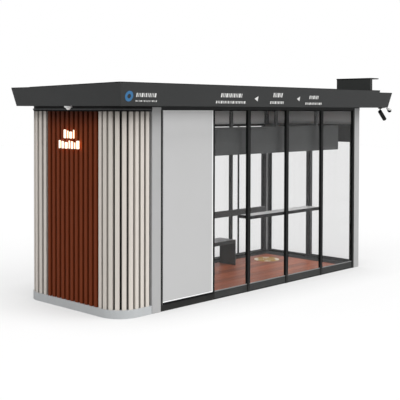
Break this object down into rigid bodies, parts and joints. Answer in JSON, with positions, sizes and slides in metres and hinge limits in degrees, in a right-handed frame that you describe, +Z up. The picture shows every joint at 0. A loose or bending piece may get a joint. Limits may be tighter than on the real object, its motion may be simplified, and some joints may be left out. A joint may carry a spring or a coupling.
{
  "type": "bus shelter",
  "caption": "Enclosed glazed bus shelter with a slatted end with round corners, flat overhanging roof, sliding entrance door, bench, counter and rooftop cabinet.",
  "frame": {"origin": "on the ground at the centre of the body's footprint, which is the plinth and sills without the roof's overhangs", "axes": "+X along the front from the slatted round end to the entrance end, +Y from the front to the rear, +Z up"},
  "size_m": [5.8221, 2.1721, 2.992],
  "materials": {
    "frame_black": "dark grey powder-coated aluminium, satin",
    "floor_wood": "reddish-brown deck boards, satin",
    "floor_mark_yellow": "ochre stick-on floor mark, matt",
    "plinth_grey": "pale grey painted steel kerb, satin",
    "slat_pale": "beige powder-coated aluminium slats, satin",
    "slat_brown": "red-brown wood-effect coated aluminium slats, satin",
    "roof_grey": "dark grey painted sheet, satin",
    "pale_grey": "pale grey powder-coated aluminium, satin",
    "panel_grey": "pale grey painted flat panel, satin",
    "glass_clear": "clear toughened glass, polished",
    "transom_grey": "mid grey painted sheet, satin",
    "hanger_steel": "plain steel door hangers",
    "bench_grey": "mid grey painted bench seat, satin",
    "bench_dark": "dark grey painted plates, satin",
    "counter_pale": "pale grey laminate top, matt",
    "box_grey": "dark grey painted box, satin",
    "ceiling_grey": "mid grey painted ceiling sheet, satin",
    "cabinet_black": "near-black painted sheet, satin",
    "camera_black": "black camera body, matt",
    "camera_white": "white dome collar, gloss"
  },
  "bodies": {
    "shelter": {"floor_base": "frame_black", "floor_boards": "floor_wood", "floor_mark": "floor_mark_yellow", "plinth": "plinth_grey", "slats_pale": "slat_pale", "slats_brown": "slat_brown", "end_wall": "frame_black", "end_beam": "roof_grey", "pale_posts": "pale_grey", "panel_frame": "frame_black", "front_panel": "panel_grey", "front_mullions": "frame_black", "front_sill": "frame_black", "front_glass": "glass_clear", "front_beam": "roof_grey", "rear_posts": "frame_black", "rear_sill": "frame_black", "rear_glass": "glass_clear", "rear_panel": "panel_grey", "transom_panels": "transom_grey", "rear_beam": "roof_grey", "leaning_rail": "frame_black", "threshold": "frame_black", "end_post": "frame_black", "end_glass": "glass_clear", "door_operator": "frame_black", "door_track": "frame_black", "entrance_beam": "roof_grey", "bench_seat": "bench_grey", "bench_legs": "bench_dark", "counter_top": "counter_pale", "counter_frame": "frame_black", "sign_box": "box_grey", "box_hangers": "box_grey", "ceiling": "ceiling_grey", "roof_fascia": "roof_grey", "roof_sheets": "roof_grey", "roof_deck": "roof_grey", "roof_cabinet": "cabinet_black", "cabinet_hood": "cabinet_black", "bullet_camera": "camera_black", "dome_cameras": "camera_white"},
    "door": {"door_frame": "frame_black", "door_glass": "glass_clear", "door_hangers": "hanger_steel"}
  },
  "joints": [
    {"name": "door_slide", "type": "slide", "parent": "shelter", "child": "door", "axis": [0, 1, 0], "range_m": [0, 0.8]}
  ]
}
